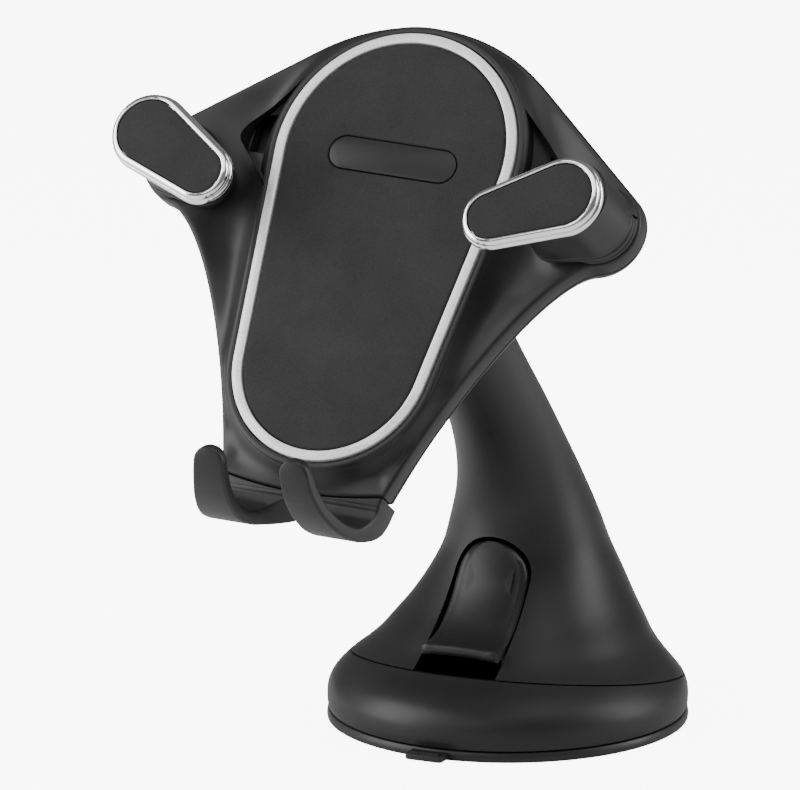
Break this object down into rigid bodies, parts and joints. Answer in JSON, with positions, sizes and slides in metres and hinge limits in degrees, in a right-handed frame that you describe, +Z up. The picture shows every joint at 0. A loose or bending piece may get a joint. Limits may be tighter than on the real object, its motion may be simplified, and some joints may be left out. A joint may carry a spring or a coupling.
{
  "type": "car phone mount",
  "caption": "Suction-cup phone mount: leaning stem with ball joint, pear-shaped pad on a winged cradle, two geared swing jaws and a sliding foot with hooks.",
  "frame": {"origin": "centre of the suction cup's flat underside", "axes": "+Z up, the pad, jaws and suction lever face -Y, +X to the right seen from the front"},
  "size_m": [0.1215, 0.1676, 0.1682],
  "materials": {
    "black_plastic": "moulded black ABS, fine satin texture",
    "pad_rubber": "flat dark grey non-slip rubber sheet",
    "cup_rubber": "smooth black soft rubber",
    "chrome_trim": "polished bright plating",
    "satin_trim": "fine sandblasted silver",
    "steel": "plain zinc-plated steel",
    "acetal": "low-friction acetal, moulded dark"
  },
  "bodies": {
    "base": {"base_skirt": "black_plastic", "base_plate": "black_plastic", "base_screw_1": "steel", "base_screw_2": "steel", "base_screw_3": "steel", "stem_shell": "black_plastic", "ball_stud": "black_plastic", "lever_pin": "steel", "cup_spring": "steel"},
    "cup": {"suction_cup": "cup_rubber", "cup_insert": "steel", "cup_stud": "steel"},
    "lever": {"suction_lever": "black_plastic"},
    "ball_sleeve": {"ball_sleeve": "acetal"},
    "ball_cup": {"pressure_cup": "acetal"},
    "cradle": {"front_shell": "black_plastic", "back_cover": "black_plastic", "cover_screw_1": "steel", "cover_screw_2": "steel", "cover_screw_3": "steel", "cover_screw_4": "steel", "trim_ring": "satin_trim", "pad": "pad_rubber", "badge_inset": "black_plastic", "left_jaw_bush": "acetal", "right_jaw_bush": "acetal", "left_return_spring": "steel", "right_return_spring": "steel"},
    "collar": {"collar_nut": "black_plastic"},
    "slider": {"foot": "black_plastic", "rack_slider": "acetal"},
    "left_jaw": {"left_jaw_post": "black_plastic", "left_jaw_rim": "chrome_trim", "left_jaw_pad": "pad_rubber", "left_jaw_gear": "acetal"},
    "right_jaw": {"right_jaw_post": "black_plastic", "right_jaw_rim": "chrome_trim", "right_jaw_pad": "pad_rubber", "right_jaw_gear": "acetal"}
  },
  "joints": [
    {"name": "lever_hinge", "type": "hinge", "parent": "base", "child": "lever", "pos_m": [0, -0.0046, 0.036], "axis": [-1, 0, 0], "range_deg": [0, 52]},
    {"name": "cup_travel", "type": "slide", "parent": "base", "child": "cup", "axis": [0, 0, -1], "range_m": [0, 0.0021], "deforming": ["cup_spring"]},
    {"name": "cradle_nod", "type": "hinge", "parent": "base", "child": "ball_sleeve", "pos_m": [0, -0.0489, 0.1185], "axis": [1, 0, 0], "range_deg": [-20, 12]},
    {"name": "cradle_pan", "type": "hinge", "parent": "ball_sleeve", "child": "ball_cup", "pos_m": [0, -0.0489, 0.1185], "axis": [0.0401, 0.5616, 0.8264], "range_deg": [-15, 15]},
    {"name": "cradle_spin", "type": "hinge", "parent": "ball_cup", "child": "cradle", "pos_m": [0, -0.0489, 0.1185], "axis": [0, -0.8271, 0.5621], "range_deg": [-90, 90]},
    {"name": "collar_turn", "type": "hinge", "parent": "cradle", "child": "collar", "pos_m": [0, -0.0489, 0.1185], "axis": [0, -0.8271, 0.5621], "range_deg": [0, 180]},
    {"name": "foot_slide", "type": "slide", "parent": "cradle", "child": "slider", "axis": [-0.0401, -0.5616, -0.8264], "range_m": [0, 0.0099], "stiffness_N_per_m": 60, "springref_m": -0.02, "deforming": ["left_return_spring", "right_return_spring"]},
    {"name": "left_jaw_turn", "type": "hinge", "parent": "cradle", "child": "left_jaw", "pos_m": [-0.05122, -0.06422, 0.13866], "axis": [0, -0.8271, 0.5621], "range_deg": [-60, 0]},
    {"name": "right_jaw_turn", "type": "hinge", "parent": "cradle", "child": "right_jaw", "pos_m": [0.0517, -0.06654, 0.13524], "axis": [0, -0.8271, 0.5621], "range_deg": [0, 60]}
  ],
  "couplings": [
    {"joint": "lever_hinge", "follows": "cup_travel", "rad_per_m": 432.1},
    {"joint": "left_jaw_turn", "follows": "foot_slide", "rad_per_m": -105.26},
    {"joint": "right_jaw_turn", "follows": "foot_slide", "rad_per_m": 105.26}
  ]
}
